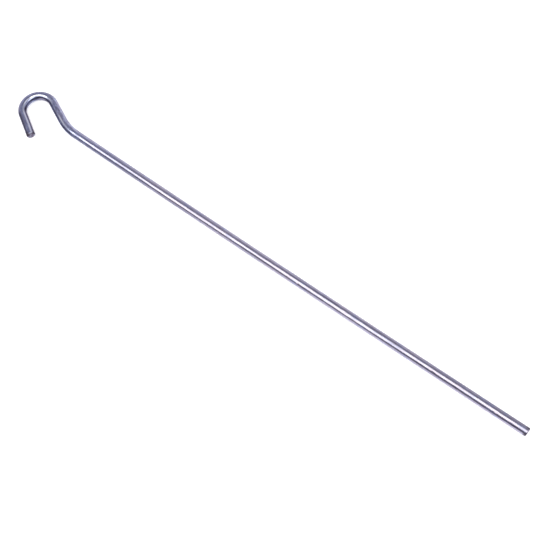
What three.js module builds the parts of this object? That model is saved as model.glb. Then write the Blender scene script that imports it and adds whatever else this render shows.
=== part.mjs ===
// Wire tent stake: one length of round steel wire, sheared at both ends, bent cold and zinc plated.
// Units are millimetres and +Z is up.
// The stake lies flat on the ground plane z = 0, with its bends in a plane parallel to the ground.
// The shank runs along X with its tip at +X, and the hook rises towards +Y and opens towards -Y.
// The origin is on the ground, in the middle of the stake's footprint.
// The stake has no second piece: shank, neck, hook and free leg are one bar, so it is one solid.
import * as THREE from 'three';

// ---- Driving dimensions ----
const wireDiameter = 3.8;                 // 9 gauge wire
const overallLength = 254;                // 10 inches, from the tip to the far side of the hook
const shankBow = 0.38;                    // sag left in the shank by the coil, at its middle
const neckBendRadius = 21.5;              // to the wire's centre line
const neckBendAngle = radians(25);
const hookRadius = 7;                     // to the wire's centre line
const hookAngle = radians(174.5);
const freeLegLength = 11.5;
const endRounding = 0.4;                  // edge rolled over by the shear at each cut end

// ---- Mesh fineness ----
const wireSides = 32;                     // facets around the wire
const shankSteps = 10;
const neckBendSteps = 10;
const hookSteps = 44;
const endSteps = 4;

// ---- Dimensions that follow from the ones above ----
const wireRadius = wireDiameter / 2;

// The neck is just long enough to put the hook's centre on the line of the shank,
// so a hammer blow or a pull on the hook runs straight down the stake.
const neckLength =
  (hookRadius * Math.cos(neckBendAngle) - neckBendRadius * (1 - Math.cos(neckBendAngle))) /
  Math.sin(neckBendAngle);

// Length along X that the neck bend, neck, hook and the wire's own radius take from the whole.
const headLength =
  (neckBendRadius + hookRadius) * Math.sin(neckBendAngle) +
  neckLength * Math.cos(neckBendAngle) +
  hookRadius + wireRadius;
const shankLength = overallLength - headLength;
const shankRadius = shankLength ** 2 / (8 * shankBow);
const shankTurn = 2 * Math.asin(shankLength / (2 * shankRadius));

function radians(degrees) {
  return (degrees * Math.PI) / 180;
}

// The centre line is a list of stations in the bend plane. Each one holds a point and the heading
// in which the wire runs, as an angle from +X. The wire is followed from its tip to its free end.
function startOfWire(heading) {
  return [{ point: new THREE.Vector2(0, 0), heading }];
}

function addStraight(stations, length) {
  const last = stations.at(-1);
  const step = new THREE.Vector2(Math.cos(last.heading), Math.sin(last.heading));
  stations.push({ point: last.point.clone().addScaledVector(step, length), heading: last.heading });
}

// A positive turn bends the wire to its left, and a negative turn to its right.
function addBend(stations, radius, turn, steps) {
  const { point, heading } = stations.at(-1);
  const side = Math.sign(turn);
  const toCentre = new THREE.Vector2(-Math.sin(heading), Math.cos(heading));
  const centre = point.clone().addScaledVector(toCentre, side * radius);
  for (let i = 1; i <= steps; i++) {
    const newHeading = heading + (turn * i) / steps;
    const outward = new THREE.Vector2(Math.sin(newHeading), -Math.cos(newHeading));
    stations.push({
      point: centre.clone().addScaledVector(outward, side * radius),
      heading: newHeading,
    });
  }
}

function stakeCentreLine() {
  const stations = startOfWire(Math.PI + shankTurn / 2);
  addBend(stations, shankRadius, -shankTurn, shankSteps);
  addBend(stations, neckBendRadius, -neckBendAngle, neckBendSteps);
  addStraight(stations, neckLength);
  addBend(stations, hookRadius, hookAngle, hookSteps);
  addStraight(stations, freeLegLength);
  return stations;
}

// The rings that close one end: a quarter-round edge from the full wire down to the flat cut face.
// 'along' is how far the ring lies from the cut face, measured back into the wire.
function endRings() {
  const rings = [];
  for (let i = 0; i <= endSteps; i++) {
    const angle = (Math.PI / 2) * (i / endSteps);
    rings.push({
      along: endRounding * (1 - Math.cos(angle)),
      radius: wireRadius - endRounding * (1 - Math.sin(angle)),
    });
  }
  return rings;
}

// Each section of the wire is a circle square to the centre line.
function wireSections(stations) {
  const first = stations[0];
  const last = stations.at(-1);
  const back = (station, distance) => station.point.clone().add(
    new THREE.Vector2(Math.cos(station.heading), Math.sin(station.heading)).multiplyScalar(distance),
  );
  const tip = endRings().map(({ along, radius }) => (
    { point: back(first, along), heading: first.heading, radius }
  ));
  const middle = stations.slice(1, -1).map((station) => ({ ...station, radius: wireRadius }));
  const freeEnd = endRings().reverse().map(({ along, radius }) => (
    { point: back(last, -along), heading: last.heading, radius }
  ));
  return [...tip, ...middle, ...freeEnd];
}

function sectionVertices({ point, heading, radius }) {
  const vertices = [];
  for (let i = 0; i < wireSides; i++) {
    const angle = (2 * Math.PI * i) / wireSides;
    const across = radius * Math.cos(angle);
    vertices.push(
      point.x - across * Math.sin(heading),
      point.y + across * Math.cos(heading),
      radius * Math.sin(angle),
    );
  }
  return vertices;
}

function sweptWire(sections) {
  const positions = sections.flatMap(sectionVertices);
  const faces = [];
  for (let ring = 0; ring < sections.length - 1; ring++) {
    for (let i = 0; i < wireSides; i++) {
      const next = (i + 1) % wireSides;
      const a = ring * wireSides + i;
      const b = ring * wireSides + next;
      const c = a + wireSides;
      const d = b + wireSides;
      faces.push(a, b, d, a, d, c);
    }
  }

  // A fan of triangles around a middle point closes each cut face.
  const ends = [
    { section: sections[0], firstVertex: 0, facesBack: true },
    {
      section: sections.at(-1),
      firstVertex: (sections.length - 1) * wireSides,
      facesBack: false,
    },
  ];
  for (const { section, firstVertex, facesBack } of ends) {
    const middle = positions.length / 3;
    positions.push(section.point.x, section.point.y, 0);
    for (let i = 0; i < wireSides; i++) {
      const a = firstVertex + i;
      const b = firstVertex + ((i + 1) % wireSides);
      faces.push(middle, ...(facesBack ? [b, a] : [a, b]));
    }
  }

  const geometry = new THREE.BufferGeometry();
  geometry.setAttribute('position', new THREE.Float32BufferAttribute(positions, 3));
  geometry.setIndex(faces);
  geometry.computeVertexNormals();
  return geometry;
}

// Moves the stake so that it rests on the ground with the origin in the middle of its footprint.
function restOnGround(geometry) {
  geometry.computeBoundingBox();
  const middle = geometry.boundingBox.getCenter(new THREE.Vector3());
  geometry.translate(-middle.x, -middle.y, -geometry.boundingBox.min.z);
  return geometry;
}

const brightZinc = new THREE.MeshStandardMaterial({
  color: new THREE.Color().setRGB(0.66, 0.67, 0.74, THREE.SRGBColorSpace),
  roughness: 0.28,
  metalness: 1,
});

const stake = new THREE.Mesh(restOnGround(sweptWire(wireSections(stakeCentreLine()))), brightZinc);
stake.name = 'bent_wire_stake';

const tentStake = new THREE.Group();
tentStake.name = 'tent_stake';
tentStake.add(stake);

export default tentStake;
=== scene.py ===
"""Looks of the bent wire tent stake: bright zinc plated wire lying on a white studio table.

Places and sizes are in metres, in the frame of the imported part: the shank runs along X with its tip
at +X, the hook rises towards +Y, and the stake rests on the plane z = 0.
"""
import math

import bpy
import numpy as np
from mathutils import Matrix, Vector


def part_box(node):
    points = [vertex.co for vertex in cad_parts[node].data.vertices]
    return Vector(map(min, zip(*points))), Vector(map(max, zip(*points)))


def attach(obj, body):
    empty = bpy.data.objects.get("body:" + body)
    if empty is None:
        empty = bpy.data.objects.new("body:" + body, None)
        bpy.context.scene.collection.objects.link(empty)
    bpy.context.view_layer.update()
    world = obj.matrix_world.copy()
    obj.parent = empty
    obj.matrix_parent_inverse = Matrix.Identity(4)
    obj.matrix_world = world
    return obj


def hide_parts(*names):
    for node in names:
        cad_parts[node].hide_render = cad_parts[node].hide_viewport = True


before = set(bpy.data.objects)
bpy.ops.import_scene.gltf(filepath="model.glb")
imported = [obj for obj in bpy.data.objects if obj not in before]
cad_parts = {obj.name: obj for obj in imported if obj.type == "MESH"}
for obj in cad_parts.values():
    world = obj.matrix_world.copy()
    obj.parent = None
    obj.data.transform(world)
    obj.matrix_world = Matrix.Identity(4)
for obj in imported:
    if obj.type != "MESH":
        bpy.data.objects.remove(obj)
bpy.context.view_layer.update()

NODE = "bent_wire_stake"
PIECE = "zinc_wire_stake"
UNBENT = "straight_bar"                   # the mesh attribute with each point's place in the unbent bar
MM = 0.001
TURN = 2 * math.pi

# ---- The stake's driving dimensions, as in the CAD ----
WIRE_RADIUS = 1.9 * MM
SHANK_BOW = 0.38 * MM
NECK_BEND_RADIUS = 21.5 * MM
NECK_BEND_ANGLE = math.radians(25)
HOOK_RADIUS = 7 * MM
HOOK_ANGLE = math.radians(174.5)
FREE_LEG_LENGTH = 11.5 * MM

# ---- Mesh fineness ----
WIRE_SIDES = 96
SHANK_SPACING = 0.36 * MM
HEAD_SPACING = 0.15 * MM
EDGE_RINGS = 9
FACE_RINGS = 12

# ---- Surface relief, all of it cut into the drawn wire ----
RELIEF_SEED = 4
WAVE_DRIFT = (0.3, 1.2)                   # how far a wave's phase swings along the wire, in radians

ROUND_WAVES = (2, 3, 4, 5)                # waves in one turn round the wire
OUT_OF_ROUND = 0.012 * MM
ROUND_WAVELENGTHS = (50 * MM, 140 * MM)   # along the wire

DIE_LINE_WAVES = range(7, 27, 2)
DIE_LINE_DEPTH = 0.0035 * MM
DIE_LINE_WAVELENGTHS = (60 * MM, 220 * MM)

NICK_COUNT = 46
NICK_DEPTHS = (0.012 * MM, 0.045 * MM)
NICK_HALF_LENGTHS = (0.3 * MM, 1.3 * MM)
NICK_HALF_WIDTHS = (0.15 * MM, 0.45 * MM)
NICK_ANGLES = (-0.05 * TURN, 0.55 * TURN)
NICK_SKEWS = (-0.5, 0.5)
TIP_WITHOUT_NICKS = 4 * MM
LEG_WITHOUT_NICKS = 3 * MM

PIN_FLAT_DEPTH = 0.07 * MM                # the inside of the hook, pressed by the bending pin
PIN_FLAT_OVERRUN = 2 * MM                 # beyond each end of the bend
PIN_FLAT_FADE = 6 * MM                    # from no depth to its full depth
PIN_FLAT_NARROWNESS = 6                   # the power of the cosine that fades it round the wire

GRIP_MARK_DEPTH = 0.03 * MM               # the outside of the hook, where the bending tool gripped it
GRIP_MARK_SPACING = 0.85 * MM
GRIP_MARK_SLANT = 0.9
GRIP_MARK_ANGLE = 0.39 * TURN
GRIP_MARK_SPREAD = 0.1 * TURN
GRIP_FADE = 3 * MM
GRIP_LENGTH = 9 * MM                      # from the start of the bend

# ---- Sheared ends ----
END_ROUNDING = 0.4 * MM
SHEAR_STEP = 0.07 * MM                    # between the smooth sheared part and the torn part of a face
SHEAR_LINE = (-0.05, 0.15)                # its start and end, in wire radii from the face's middle
SHEAR_ROUGHNESS = 0.03 * MM
SMOOTH_PART_ROUGHNESS = 0.35              # as a part of the torn part's
TORN_WAVES = (7.0, 9.0, 13.0)             # radians in a wire radius: across, upward and slanting
TIP_FACE_PHASE = 0.7
HOOK_FACE_PHASE = 2.1

# ---- Studio ----
TABLE_SIZE = 8
CAMERA_TARGET = (0.01168, -0.00061, 0.00008)
CAMERA_DISTANCE = 0.36575
CAMERA_AZIMUTH = math.radians(-35.80)     # where it looks, from +Y towards +X
CAMERA_ELEVATION = math.radians(67.05)    # how steeply it looks down
CAMERA_ROLL = math.radians(-0.057)
CAMERA_LENS = 58.88                       # this and the sensor's width are in millimetres
CAMERA_SENSOR = 36
LIGHT_HEIGHT = 1.5


# ---- Centre line ----
def wire_stretches(stake_length):
    """(length, turn, spacing of its rings) of each stretch, from the tip to the hook's free end.

    A stretch is straight where its turn is 0, and a positive turn bends it to the left.
    """
    sin_neck, cos_neck = math.sin(NECK_BEND_ANGLE), math.cos(NECK_BEND_ANGLE)
    neck_length = (HOOK_RADIUS * cos_neck - NECK_BEND_RADIUS * (1 - cos_neck)) / sin_neck
    head_length = (
        (NECK_BEND_RADIUS + HOOK_RADIUS) * sin_neck
        + neck_length * cos_neck
        + HOOK_RADIUS
        + WIRE_RADIUS
    )
    shank_length = stake_length - head_length
    shank_radius = shank_length**2 / (8 * SHANK_BOW)
    shank_turn = 2 * math.asin(shank_length / (2 * shank_radius))
    return [
        (shank_radius * shank_turn, -shank_turn, SHANK_SPACING),
        (NECK_BEND_RADIUS * NECK_BEND_ANGLE, -NECK_BEND_ANGLE, HEAD_SPACING),
        (neck_length, 0.0, HEAD_SPACING),
        (HOOK_RADIUS * HOOK_ANGLE, HOOK_ANGLE, HEAD_SPACING),
        (FREE_LEG_LENGTH, 0.0, HEAD_SPACING),
    ]


def centre_line(stretches):
    """Points, headings and distances along the wire, and the distances where stretches join."""
    shank_turn = stretches[0][1]
    point = np.zeros(2)
    heading = math.pi - shank_turn / 2
    distance = 0.0
    points, headings, distances, joins = [point], [heading], [distance], [distance]
    for length, turn, spacing in stretches:
        steps = max(2, round(length / spacing))
        for i in range(1, steps + 1):
            part = i / steps
            new_heading = heading + turn * part
            if turn:
                offset = length / turn * np.array([
                    math.sin(new_heading) - math.sin(heading),
                    math.cos(heading) - math.cos(new_heading),
                ])
            else:
                offset = part * length * np.array([math.cos(heading), math.sin(heading)])
            points.append(point + offset)
            headings.append(new_heading)
            distances.append(distance + part * length)
        point = points[-1]
        heading = headings[-1]
        distance += length
        joins.append(distance)
    return np.array(points), np.array(headings), np.array(distances), joins


lowest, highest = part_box(NODE)
line, line_headings, line_distances, joins = centre_line(wire_stretches(highest.x - lowest.x))
line[:, 0] += lowest.x + WIRE_RADIUS - line[:, 0].min()
line[:, 1] += highest.y - WIRE_RADIUS - line[:, 1].max()
TIP, NECK_START, NECK_END, HOOK_START, HOOK_END, FREE_END = joins


def along_line(distance):
    x = np.interp(distance, line_distances, line[:, 0])
    y = np.interp(distance, line_distances, line[:, 1])
    heading = np.interp(distance, line_distances, line_headings)
    return x, y, heading


# ---- Surface relief ----
# A point on the wire has an angle round it and a distance along it. Angle 0 faces the inside of
# the hook, a quarter turn faces up, and a half turn faces the outside of the hook.
random = np.random.default_rng(RELIEF_SEED)


def smooth_step(value, zero_at, one_at):
    """Rises or falls smoothly from 0 to 1 between two values, of which either may be the larger."""
    part = np.clip((value - zero_at) / (one_at - zero_at), 0, 1)
    return part * part * (3 - 2 * part)


def drawn_waves(angle, distance, orders, depth, wavelengths):
    """Waves round the wire that drift slowly along it, as a worn drawing die leaves them."""
    relief = 0.0
    for order in orders:
        phase, drift_phase = random.uniform(0, TURN, 2)
        drift = random.uniform(*WAVE_DRIFT)
        wavelength = random.uniform(*wavelengths)
        swing = drift * np.sin(TURN * distance / wavelength + drift_phase)
        relief = relief + np.sin(order * angle + phase + swing)
    return depth * relief / math.sqrt(len(orders))


def nicks(angle, distance):
    """Small dents from handling, longer along the wire than across it, and not on the underside."""
    relief = np.zeros(np.broadcast(angle, distance).shape)
    for _ in range(NICK_COUNT):
        at_distance = random.uniform(TIP + TIP_WITHOUT_NICKS, FREE_END - LEG_WITHOUT_NICKS)
        at_angle = random.uniform(*NICK_ANGLES)
        depth = random.uniform(*NICK_DEPTHS)
        half_length = random.uniform(*NICK_HALF_LENGTHS)
        half_width = random.uniform(*NICK_HALF_WIDTHS)
        skew = random.uniform(*NICK_SKEWS)
        along = distance - at_distance
        across = WIRE_RADIUS * (np.mod(angle - at_angle + math.pi, TURN) - math.pi) - skew * along
        relief = relief + depth * np.exp(-(along / half_length) ** 2 - (across / half_width) ** 2)
    return relief


def pin_flat(angle, distance):
    """The inside of the hook, pressed slightly flat."""
    flat_start = HOOK_START - PIN_FLAT_OVERRUN
    flat_end = HOOK_END + PIN_FLAT_OVERRUN
    hook = (
        smooth_step(distance, flat_start, flat_start + PIN_FLAT_FADE)
        * smooth_step(distance, flat_end, flat_end - PIN_FLAT_FADE)
    )
    facing = np.clip(np.cos(angle), 0, 1)
    return PIN_FLAT_DEPTH * hook * facing**PIN_FLAT_NARROWNESS


def grip_marks(angle, distance):
    """Slanting teeth marks where the bending tool held the outside of the hook."""
    grip_end = HOOK_START + GRIP_LENGTH
    zone = (
        smooth_step(distance, HOOK_START - GRIP_FADE, HOOK_START)
        * smooth_step(distance, grip_end, grip_end - GRIP_FADE)
    )
    side = np.exp(-((angle - GRIP_MARK_ANGLE) / GRIP_MARK_SPREAD) ** 2)
    turns = (distance + GRIP_MARK_SLANT * WIRE_RADIUS * angle) / GRIP_MARK_SPACING
    teeth = np.clip(np.sin(TURN * turns), 0, 1) ** 2
    return GRIP_MARK_DEPTH * zone * side * teeth


def relief_depth(angle, distance):
    """How far the surface lies below the drawn wire's full radius."""
    waves = drawn_waves(angle, distance, ROUND_WAVES, OUT_OF_ROUND, ROUND_WAVELENGTHS)
    waves = waves + drawn_waves(
        angle, distance, DIE_LINE_WAVES, DIE_LINE_DEPTH, DIE_LINE_WAVELENGTHS
    )
    depth = waves - waves.min()
    depth = depth + nicks(angle, distance) + pin_flat(angle, distance)
    return depth + grip_marks(angle, distance)


def face_depth(across, upward, phase):
    """How far a cut face lies behind its plane: a shear step and torn metal beyond it."""
    across_radii = across / WIRE_RADIUS
    upward_radii = upward / WIRE_RADIUS
    torn = smooth_step(across_radii, *SHEAR_LINE)
    across_waves, upward_waves, slanting_waves = TORN_WAVES
    ripple = (
        np.sin(across_waves * across_radii + phase)
        + np.sin(upward_waves * upward_radii - 2 * phase)
        + np.sin(slanting_waves * (across_radii + upward_radii) + 3 * phase)
    )
    unevenness = (1 + ripple / len(TORN_WAVES)) / 2
    roughness = SMOOTH_PART_ROUGHNESS + (1 - SMOOTH_PART_ROUGHNESS) * torn
    return SHEAR_STEP * torn + SHEAR_ROUGHNESS * roughness * unevenness


# ---- Wire mesh ----
def ring_stations():
    """(distance along the wire, radius as a part of the wire's) from one cut face to the other."""
    rounding = END_ROUNDING / WIRE_RADIUS
    face = [(0.0, (1 - rounding) * i / FACE_RINGS) for i in range(1, FACE_RINGS)]
    edge = []
    for i in range(EDGE_RINGS + 1):
        angle = math.pi / 2 * i / EDGE_RINGS
        edge.append((END_ROUNDING * (1 - math.cos(angle)), 1 - rounding * (1 - math.sin(angle))))
    tip = face + edge
    middle = [(d, 1.0) for d in line_distances if END_ROUNDING < d < FREE_END - END_ROUNDING]
    free_end = [(FREE_END - d, scale) for d, scale in reversed(tip)]
    return np.array(tip + middle + free_end)


def wire_surface(stations):
    """The points of every ring where they lie, and where they would be in the unbent bar."""
    ring_distance = stations[:, :1]
    ring_scale = stations[:, 1:]
    angles = (TURN * np.arange(WIRE_SIDES) / WIRE_SIDES)[None, :]
    radius = (WIRE_RADIUS - relief_depth(angles, ring_distance)) * ring_scale
    across = radius * np.cos(angles)
    upward = radius * np.sin(angles)
    near_tip = smooth_step(ring_distance, END_ROUNDING, 0.0)
    near_free_end = smooth_step(ring_distance, FREE_END - END_ROUNDING, FREE_END)
    distance = (
        ring_distance
        + near_tip * face_depth(across, upward, TIP_FACE_PHASE)
        - near_free_end * face_depth(across, upward, HOOK_FACE_PHASE)
    )
    x, y, heading = along_line(distance)
    positions = np.stack([
        x - across * np.sin(heading),
        y + across * np.cos(heading),
        WIRE_RADIUS + upward,
    ], axis=-1)
    straight_bar = np.stack([across, upward, distance], axis=-1)
    return positions.reshape(-1, 3), straight_bar.reshape(-1, 3)


def ring_edges(ring):
    """Pairs of neighbouring points round a ring."""
    start = ring * WIRE_SIDES
    return [(start + i, start + (i + 1) % WIRE_SIDES) for i in range(WIRE_SIDES)]


def with_face_centres(points, ring_count):
    """The points, and after them the middles of the first and the last ring."""
    rings = points.reshape(ring_count, WIRE_SIDES, 3)
    return np.vstack([points, rings[0].mean(axis=0), rings[-1].mean(axis=0)])


def wire_faces(ring_count):
    faces = []
    for ring in range(ring_count - 1):
        faces += [(a, b, b + WIRE_SIDES, a + WIRE_SIDES) for a, b in ring_edges(ring)]
    tip_centre = ring_count * WIRE_SIDES
    free_end_centre = tip_centre + 1
    faces += [(tip_centre, b, a) for a, b in ring_edges(0)]
    faces += [(free_end_centre, a, b) for a, b in ring_edges(ring_count - 1)]
    return faces


stations = ring_stations()
positions, straight_bar = wire_surface(stations)
positions = with_face_centres(positions, len(stations))
straight_bar = with_face_centres(straight_bar, len(stations))

mesh = bpy.data.meshes.new(PIECE)
mesh.from_pydata(positions.tolist(), [], wire_faces(len(stations)))
mesh.shade_smooth()
bar = mesh.attributes.new(UNBENT, "FLOAT_VECTOR", "POINT")
bar.data.foreach_set("vector", straight_bar.astype(np.float32).ravel())
stake = bpy.data.objects.new(PIECE, mesh)
bpy.context.scene.collection.objects.link(stake)


# ---- Node helpers ----
# The Mix node has an A, a B and a result for each kind of value. These are the colour ones.
MIX_COLOUR_A = 6
MIX_COLOUR_B = 7
MIX_COLOUR_RESULT = 2


def connect(tree, socket, value):
    """Sets a socket to a constant, or links it to another node's output."""
    if isinstance(value, bpy.types.NodeSocket):
        tree.links.new(value, socket)
    else:
        socket.default_value = value


def map_range(tree, value, start, end, at_start=0.0, at_end=1.0, smooth=True):
    """Goes from at_start to at_end between two values, of which either may be the larger."""
    node = tree.nodes.new("ShaderNodeMapRange")
    node.interpolation_type = "SMOOTHSTEP" if smooth else "LINEAR"
    settings = {
        "Value": value,
        "From Min": start,
        "From Max": end,
        "To Min": at_start,
        "To Max": at_end,
    }
    for name, setting in settings.items():
        connect(tree, node.inputs[name], setting)
    return node.outputs["Result"]


def math_node(tree, operation, a, b=0.0):
    node = tree.nodes.new("ShaderNodeMath")
    node.operation = operation
    connect(tree, node.inputs[0], a)
    connect(tree, node.inputs[1], b)
    return node.outputs[0]


def product(tree, first, *others):
    result = first
    for factor in others:
        result = math_node(tree, "MULTIPLY", result, factor)
    return result


def difference(tree, a, b):
    """How far apart two values are, whichever is the larger."""
    return math_node(tree, "ABSOLUTE", math_node(tree, "SUBTRACT", a, b))


def window(tree, value, rise, fall):
    """0, then 1 from the end of the rise to the start of the fall, then 0. Both are (start, end)."""
    return product(tree, map_range(tree, value, *rise), map_range(tree, value, *reversed(fall)))


def dot_product(tree, vector, direction):
    node = tree.nodes.new("ShaderNodeVectorMath")
    node.operation = "DOT_PRODUCT"
    connect(tree, node.inputs[0], vector)
    node.inputs[1].default_value = direction
    return node.outputs["Value"]


def mix_colour(tree, factor, a, b):
    """Colour a where the factor is 0, and b where it is 1."""
    node = tree.nodes.new("ShaderNodeMix")
    node.data_type = "RGBA"
    connect(tree, node.inputs["Factor"], factor)
    for socket, colour in ((MIX_COLOUR_A, a), (MIX_COLOUR_B, b)):
        is_plain = not isinstance(colour, bpy.types.NodeSocket)
        connect(tree, node.inputs[socket], (*colour, 1) if is_plain else colour)
    return node.outputs[MIX_COLOUR_RESULT]


def colour_ramp(tree, factor, stops):
    node = tree.nodes.new("ShaderNodeValToRGB")
    ramp = node.color_ramp
    while len(ramp.elements) < len(stops):
        ramp.elements.new(1.0)
    for element, (position, colour) in zip(ramp.elements, stops):
        element.position = position
        element.color = (*colour, 1)
    connect(tree, node.inputs[0], factor)
    return node.outputs["Color"]


def separate(tree, vector):
    node = tree.nodes.new("ShaderNodeSeparateXYZ")
    connect(tree, node.inputs[0], vector)
    return node.outputs


# ---- Zinc plating ----
VIOLET_ZINC = (0.475, 0.440, 0.510)
BLUE_ZINC = (0.352, 0.392, 0.575)
ROSE_ZINC = (0.530, 0.455, 0.510)
# The next is a painted highlight, for the pale band on top of the head.
PAINTED_HIGHLIGHT_ZINC = (0.860, 0.880, 0.930)
# The next is dull zinc in random streaks and mottle, and also painted shade on the outside of the hook.
DULL_ZINC_AND_SHADE = (0.258, 0.255, 0.355)
FROSTED_ZINC = (0.560, 0.630, 0.820)
# The next is painted shade, for the inside of the hook and its leg.
INNER_SHADE_COLOUR = (0.150, 0.125, 0.180)
# The next is a painted dark reflection, for the sides of the wire near each end.
END_SHADE_COLOUR = (0.130, 0.110, 0.140)
CUT_ZINC = (0.240, 0.185, 0.250)
SHEARED_ZINC = (0.440, 0.430, 0.520)

# Where noise puts a layer of tint: the noise's value where the layer starts, the value where it is
# full, and its strength at those two, which are 0 and 1 if they are left out.
ROSE_STREAKS = (0.52, 0.68, 0.0, 0.55)
BLUE_BLOTCHES = (0.52, 0.66, 0.0, 0.5)
DULL_STREAKS = (0.47, 0.30, 0.0, 0.75)
FROSTED_MOTTLE = (0.50, 0.66, 0.0, 0.75)
DULL_MOTTLE = (0.50, 0.36, 0.0, 0.75)
HIGHLIGHT_BAND_STREAKS = (0.35, 0.6, 0.35, 1.0)
SHEARED_PATCHES = (0.40, 0.58)
END_SHADE_PATCHES = (0.35, 0.55, 0.80, 1.0)

# The same for places: along the bar, across it (+ is towards the inside of the hook), upward from
# its middle, in from the nearer cut end, or out from the middle between the darkened sides of the ends.
BLUER_ALONG = (NECK_START - 60 * MM, HOOK_START, 0.15, 0.95)
LESS_BLUE_ACROSS = (-0.09 * WIRE_RADIUS, -0.71 * WIRE_RADIUS, 1.0, 0.45)
HEAD_ALONG = (NECK_START - 20 * MM, NECK_END, 0.35, 1.0)
OUTER_SHADE_ACROSS = (0.05 * WIRE_RADIUS, -0.45 * WIRE_RADIUS, 0.0, 0.8)
HIGHLIGHT_BAND_ALONG = (NECK_START, NECK_END)
SHADE_IN_LEG_ALONG = (HOOK_END - 6 * MM, HOOK_END - 2 * MM)
CUT_FACE_FROM_END = (0.30 * MM, 0.15 * MM)
END_SHADE_FROM_END = (1.9 * MM, 0.7 * MM)
END_SHADE_FROM_GAP = (0.28 * WIRE_RADIUS, 0.66 * WIRE_RADIUS)
END_SHADE_UPWARD = (-0.15 * WIRE_RADIUS, 0.20 * WIRE_RADIUS)

# A rise and a fall along the bar, each with its start and end.
OUTER_SHADE_RISE = (HOOK_START - 2 * MM, HOOK_START + 4 * MM)
OUTER_SHADE_FALL = (HOOK_END + 5 * MM, HOOK_END + 10 * MM)
NECK_RISE = (NECK_END, NECK_END + 4 * MM)
NECK_FALL = (HOOK_START - 3 * MM, HOOK_START + 1 * MM)
SHADE_IN_BEND_RISE = (HOOK_START - 4 * MM, HOOK_START)
SHADE_IN_BEND_FALL = (HOOK_START + 7 * MM, HOOK_START + 11 * MM)

# Angles round the wire are from the inside of the hook.
HIGHLIGHT_BAND_ANGLE = math.radians(71)
HIGHLIGHT_BAND_HALF_WIDTH = math.radians(16)
HIGHLIGHT_BAND_FULL_WIDTH = 0.2                  # the part of the half width that has the full painted highlight
HIGHLIGHT_BAND_ON_NECK = 0.1                     # as a part of the painted highlight elsewhere
SHADE_IN_BEND_ANGLES = (math.radians(58), math.radians(38), 0.0, 0.75)
SHADE_IN_LEG_ANGLES = (math.radians(63), math.radians(42), 0.0, 0.92)
END_SHADE_GAP_ACROSS = 0.12 * WIRE_RADIUS         # the middle of the lighter gap between the two darkened sides

# Roughness in the same form: what the drawing lines have, and what the others add to it.
ROUGHNESS_OF_LINES = (0.3, 0.7, 0.10, 0.19)
ROUGHNESS_OF_BLOTCHES = (0.45, 0.7, 0.0, 0.08)
ROUGHNESS_OF_ENDS = (0.6 * MM, 0.2 * MM, 0.0, 0.22)
ROUGHNESS_OF_END_SHADE = 0.15

BUMP_STRENGTH = 0.35
BUMP_DISTANCE = 0.012 * MM
BUMP_OF_LINES = 0.8
BUMP_OF_GRAIN = 0.2
BUMP_OF_BLOTCHES = 3.0

material = bpy.data.materials.new("bright_zinc")
material.use_nodes = True
zinc = material.node_tree
shader = zinc.nodes["Principled BSDF"]
shader.inputs["Metallic"].default_value = 1.0
attribute = zinc.nodes.new("ShaderNodeAttribute")
attribute.attribute_name = UNBENT
bar_point = attribute.outputs["Vector"]
bar_across, bar_upward, bar_along = separate(zinc, bar_point)


def streaks(width, length, detail=2.0, roughness=0.5):
    """Noise in the unbent bar, stretched along it. Both sizes are of one blotch, in metres."""
    mapping = zinc.nodes.new("ShaderNodeMapping")
    mapping.inputs["Scale"].default_value = (1 / width, 1 / width, 1 / length)
    zinc.links.new(bar_point, mapping.inputs["Vector"])
    noise = zinc.nodes.new("ShaderNodeTexNoise")
    noise.inputs["Scale"].default_value = 1.0
    noise.inputs["Detail"].default_value = detail
    noise.inputs["Roughness"].default_value = roughness
    zinc.links.new(mapping.outputs["Vector"], noise.inputs["Vector"])
    return noise.outputs["Fac"]


drawing_lines = streaks(width=0.12 * MM, length=14 * MM)
broad_streaks = streaks(width=0.55 * MM, length=22 * MM)
blotches = streaks(width=1.6 * MM, length=5 * MM, detail=3.0)
mottle = streaks(width=0.9 * MM, length=2.4 * MM, detail=4.0, roughness=0.6)
grain = streaks(width=0.10 * MM, length=0.16 * MM, detail=1.0)
end_patches = streaks(width=0.9 * MM, length=0.9 * MM, detail=1.0)

# The plating turns bluer towards the hook, though less so on the side that is outermost there.
blueness = product(
    zinc,
    map_range(zinc, bar_along, *BLUER_ALONG),
    map_range(zinc, bar_across, *LESS_BLUE_ACROSS),
)
tint = mix_colour(zinc, blueness, VIOLET_ZINC, BLUE_ZINC)
tint = mix_colour(zinc, map_range(zinc, broad_streaks, *ROSE_STREAKS), tint, ROSE_ZINC)
tint = mix_colour(zinc, map_range(zinc, blotches, *BLUE_BLOTCHES), tint, BLUE_ZINC)
tint = mix_colour(zinc, map_range(zinc, broad_streaks, *DULL_STREAKS), tint, DULL_ZINC_AND_SHADE)

# Handling has mottled it, most of all on the head.
on_head = map_range(zinc, bar_along, *HEAD_ALONG)
frosted = product(zinc, map_range(zinc, mottle, *FROSTED_MOTTLE), on_head)
tint = mix_colour(zinc, frosted, tint, FROSTED_ZINC)
dulled = product(zinc, map_range(zinc, mottle, *DULL_MOTTLE), on_head)
tint = mix_colour(zinc, dulled, tint, DULL_ZINC_AND_SHADE)

# Painted shade: the outside of the hook is darkened, which narrows its highlight there.
painted_outer_shade = product(
    zinc,
    window(zinc, bar_along, OUTER_SHADE_RISE, OUTER_SHADE_FALL),
    map_range(zinc, bar_across, *OUTER_SHADE_ACROSS),
)
tint = mix_colour(zinc, painted_outer_shade, tint, DULL_ZINC_AND_SHADE)

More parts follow.
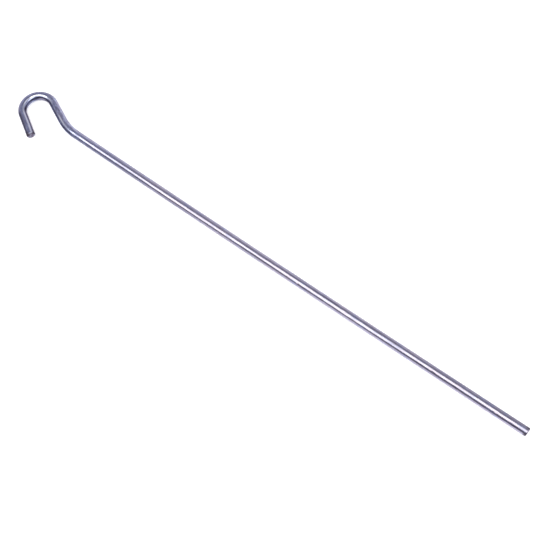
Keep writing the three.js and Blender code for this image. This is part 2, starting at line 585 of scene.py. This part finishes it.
# Painted highlight: a pale band is painted on top of the head, towards the inside of the hook,
# along the streak of highlight there. The straight of the neck has little of it.
bar_angle = math_node(zinc, "ARCTAN2", bar_upward, bar_across)
from_band = difference(zinc, bar_angle, HIGHLIGHT_BAND_ANGLE)
on_neck = window(zinc, bar_along, NECK_RISE, NECK_FALL)
painted_highlight_band = product(
    zinc,
    map_range(zinc, from_band, HIGHLIGHT_BAND_HALF_WIDTH, HIGHLIGHT_BAND_FULL_WIDTH * HIGHLIGHT_BAND_HALF_WIDTH),
    map_range(zinc, bar_along, *HIGHLIGHT_BAND_ALONG),
    map_range(zinc, broad_streaks, *HIGHLIGHT_BAND_STREAKS),
    map_range(zinc, on_neck, 0.0, 1.0, 1.0, HIGHLIGHT_BAND_ON_NECK),
)
tint = mix_colour(zinc, painted_highlight_band, tint, PAINTED_HIGHLIGHT_ZINC)

# Painted shade: the inside of the hook's first half and its leg is darkened, for the shade inside the
# hook's eye.
inside_angle = math_node(zinc, "ABSOLUTE", bar_angle)
shade_in_bend = product(
    zinc,
    window(zinc, bar_along, SHADE_IN_BEND_RISE, SHADE_IN_BEND_FALL),
    map_range(zinc, inside_angle, *SHADE_IN_BEND_ANGLES),
)
shade_in_leg = product(
    zinc,
    map_range(zinc, bar_along, *SHADE_IN_LEG_ALONG),
    map_range(zinc, inside_angle, *SHADE_IN_LEG_ANGLES),
)
painted_inner_shade = math_node(zinc, "MAXIMUM", shade_in_bend, shade_in_leg)
tint = mix_colour(zinc, painted_inner_shade, tint, INNER_SHADE_COLOUR)

# Each end is mottled where it was sheared.
from_end = math_node(
    zinc, "MINIMUM",
    math_node(zinc, "SUBTRACT", bar_along, TIP),
    math_node(zinc, "SUBTRACT", FREE_END, bar_along),
)
cut_face = map_range(zinc, from_end, *CUT_FACE_FROM_END)
cut_tint = mix_colour(zinc, map_range(zinc, end_patches, *SHEARED_PATCHES), CUT_ZINC, SHEARED_ZINC)
tint = mix_colour(zinc, cut_face, tint, cut_tint)

# Painted dark reflection: near each end, both sides of the wire are darkened in patches, for the
# rounded rim.
from_end_shade_gap = difference(zinc, bar_across, END_SHADE_GAP_ACROSS)
end_shade_sides = product(
    zinc,
    map_range(zinc, from_end_shade_gap, *END_SHADE_FROM_GAP),
    map_range(zinc, bar_upward, *END_SHADE_UPWARD),
)
painted_end_shade = product(
    zinc,
    map_range(zinc, from_end, *END_SHADE_FROM_END),
    end_shade_sides,
    map_range(zinc, end_patches, *END_SHADE_PATCHES),
)
tint = mix_colour(zinc, painted_end_shade, tint, END_SHADE_COLOUR)
connect(zinc, shader.inputs["Base Color"], tint)

roughness = map_range(zinc, drawing_lines, *ROUGHNESS_OF_LINES)
for rougher in (
    map_range(zinc, blotches, *ROUGHNESS_OF_BLOTCHES),
    product(zinc, painted_end_shade, ROUGHNESS_OF_END_SHADE),
    map_range(zinc, from_end, *ROUGHNESS_OF_ENDS),
):
    roughness = math_node(zinc, "ADD", roughness, rougher)
connect(zinc, shader.inputs["Roughness"], roughness)

bump_height = product(zinc, drawing_lines, BUMP_OF_LINES)
for noise, share in ((grain, BUMP_OF_GRAIN), (blotches, BUMP_OF_BLOTCHES)):
    bump_height = math_node(zinc, "ADD", bump_height, product(zinc, noise, share))
bump = zinc.nodes.new("ShaderNodeBump")
bump.inputs["Strength"].default_value = BUMP_STRENGTH
bump.inputs["Distance"].default_value = BUMP_DISTANCE
connect(zinc, bump.inputs["Height"], bump_height)
connect(zinc, shader.inputs["Normal"], bump.outputs["Normal"])
mesh.materials.append(material)

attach(stake, "root")
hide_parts(NODE)

# ---- Table ----
TABLE_WHITE = (0.94, 0.94, 0.94, 1)
TABLE_ROUGHNESS = 0.9
TABLE_SPECULAR = 0.0
TABLE_BACKLIGHT = 0.5

bpy.ops.mesh.primitive_plane_add(size=TABLE_SIZE, location=(0, 0, 0))
table = bpy.context.object
table.name = "studio_table"
table.visible_glossy = False
paint = bpy.data.materials.new("white_table")
paint.use_nodes = True
table_shader = paint.node_tree.nodes["Principled BSDF"]
table_shader.inputs["Base Color"].default_value = TABLE_WHITE
table_shader.inputs["Roughness"].default_value = TABLE_ROUGHNESS
table_shader.inputs["Specular IOR Level"].default_value = TABLE_SPECULAR
table_shader.inputs["Emission Color"].default_value = TABLE_WHITE
table_shader.inputs["Emission Strength"].default_value = TABLE_BACKLIGHT
table.data.materials.append(paint)


# ---- Light ----
KEY_COLOUR = (1.0, 0.97, 0.90)
FILL_COLOUR = (1.0, 0.985, 0.95)


def level_direction(right, forward):
    """A horizontal direction, from how far it points to the camera's right and away from it."""
    return (
        right * math.cos(CAMERA_AZIMUTH) + forward * math.sin(CAMERA_AZIMUTH),
        -right * math.sin(CAMERA_AZIMUTH) + forward * math.cos(CAMERA_AZIMUTH),
    )


def softbox(name, right, forward, length, width, radiance, colour, turn=0.0):
    """A level oval softbox over the table, set out to the camera's right and away from it."""
    data = bpy.data.lights.new(name, "AREA")
    data.shape = "ELLIPSE"
    data.size = length
    data.size_y = width
    oval_area = math.pi / 4 * length * width
    data.energy = radiance * math.pi * oval_area
    data.color = colour
    light = bpy.data.objects.new(name, data)
    light.location = (*level_direction(right, forward), LIGHT_HEIGHT)
    light.rotation_euler = (0, 0, turn - CAMERA_AZIMUTH)
    bpy.context.scene.collection.objects.link(light)


softbox(
    "key", right=-0.95, forward=-0.555, length=2.8, width=1.40,
    radiance=2.2, colour=KEY_COLOUR, turn=math.radians(8),
)
softbox(
    "fill", right=1.23, forward=-0.98, length=2.25, width=1.46,
    radiance=1.85, colour=FILL_COLOUR,
)

# ---- Room ----
# Colours by height: 0 is straight down, a half is level, and 1 is straight up.
PALE_SIDE = [
    (0.20, (0.95, 0.94, 1.02)),
    (0.42, (0.91, 0.90, 0.98)),
    (0.58, (0.92, 0.90, 1.00)),
    (0.70, (0.84, 0.82, 0.92)),
    (0.80, (0.60, 0.59, 0.69)),
    (0.87, (0.45, 0.44, 0.53)),
    (0.95, (0.36, 0.36, 0.44)),
]
DARK_SIDE = [
    (0.05, (0.92, 0.92, 1.02)),
    (0.15, (0.52, 0.52, 0.62)),
    (0.26, (0.24, 0.24, 0.32)),
    (0.42, (0.10, 0.10, 0.145)),
    (0.60, (0.10, 0.10, 0.145)),
    (0.80, (0.25, 0.25, 0.33)),
]
LOW_GLOW = [
    (0.05, (1.45, 1.45, 1.55)),
    (0.21, (1.28, 1.28, 1.38)),
    (0.37, (1.04, 1.04, 1.12)),
    (0.46, (0.70, 0.70, 0.78)),
    (0.55, (0.32, 0.30, 0.355)),
    (0.63, (0.16, 0.14, 0.175)),
    (0.80, (0.25, 0.25, 0.33)),
]
WINDOW_COLOUR = (0.85, 0.85, 0.93)
LEFT_WALL_COLOUR = (0.66, 0.66, 0.73)
CEILING_EDGE_COLOUR = (0.32, 0.32, 0.40)
PLAIN_WHITE = (1.0, 1.0, 1.0)

world = bpy.data.worlds.new("studio")
world.use_nodes = True
room = world.node_tree
direction = room.nodes.new("ShaderNodeTexCoord").outputs["Generated"]
direction_up = separate(room, direction)["Z"]
height = map_range(room, direction_up, -1, 1, smooth=False)
level_part = math_node(room, "SQRT", math_node(
    room, "SUBTRACT", 1.0, math_node(room, "POWER", direction_up, 2.0)
))


def lobe(azimuth, elevation, outer, inner):
    """1 within the inner angle of a direction, 0 beyond the outer one. All four are in degrees,
    and azimuth is from straight away from the camera towards its right."""
    toward = level_direction(math.sin(math.radians(azimuth)), math.cos(math.radians(azimuth)))
    level = math.cos(math.radians(elevation))
    closeness = dot_product(room, direction, (
        toward[0] * level,
        toward[1] * level,
        math.sin(math.radians(elevation)),
    ))
    return map_range(room, closeness, math.cos(math.radians(outer)), math.cos(math.radians(inner)))


def side(azimuth, outer, inner):
    """As lobe, but for a level azimuth at any height."""
    toward = level_direction(math.sin(math.radians(azimuth)), math.cos(math.radians(azimuth)))
    closeness = math_node(room, "DIVIDE", dot_product(room, direction, (*toward, 0)), level_part)
    return map_range(room, closeness, math.cos(math.radians(outer)), math.cos(math.radians(inner)))


pale_wall = side(azimuth=-14, outer=68, inner=38)
window_light = lobe(azimuth=88, elevation=41, outer=46, inner=10)
left_wall = lobe(azimuth=262, elevation=37, outer=27, inner=6)
ceiling_edge = lobe(azimuth=32, elevation=50, outer=21, inner=4)
low_glow = side(azimuth=217, outer=38, inner=12)

shade = colour_ramp(room, height, DARK_SIDE)
for part, colour in (
    (pale_wall, colour_ramp(room, height, PALE_SIDE)),
    (window_light, WINDOW_COLOUR),
    (left_wall, LEFT_WALL_COLOUR),
    (ceiling_edge, CEILING_EDGE_COLOUR),
    (low_glow, colour_ramp(room, height, LOW_GLOW)),
):
    shade = mix_colour(room, part, shade, colour)

# What the camera sees past the table is plain and pale. The wire still mirrors the room.
seen = room.nodes.new("ShaderNodeLightPath").outputs["Is Camera Ray"]
connect(
    room, room.nodes["Background"].inputs["Color"], mix_colour(room, seen, shade, PLAIN_WHITE)
)
bpy.context.scene.world = world

# ---- Camera ----
camera_data = bpy.data.cameras.new("camera")
camera_data.sensor_width = CAMERA_SENSOR
camera_data.lens = CAMERA_LENS
camera = bpy.data.objects.new("camera", camera_data)
forward = (
    math.sin(CAMERA_AZIMUTH) * math.cos(CAMERA_ELEVATION),
    math.cos(CAMERA_AZIMUTH) * math.cos(CAMERA_ELEVATION),
    -math.sin(CAMERA_ELEVATION),
)
camera.location = [t - CAMERA_DISTANCE * f for t, f in zip(CAMERA_TARGET, forward)]
camera.rotation_euler = (math.pi / 2 - CAMERA_ELEVATION, 0, -CAMERA_AZIMUTH)
camera.rotation_euler.rotate_axis("Z", CAMERA_ROLL)
bpy.context.scene.collection.objects.link(camera)
bpy.context.scene.camera = camera
bpy.context.scene.view_settings.view_transform = "Standard"
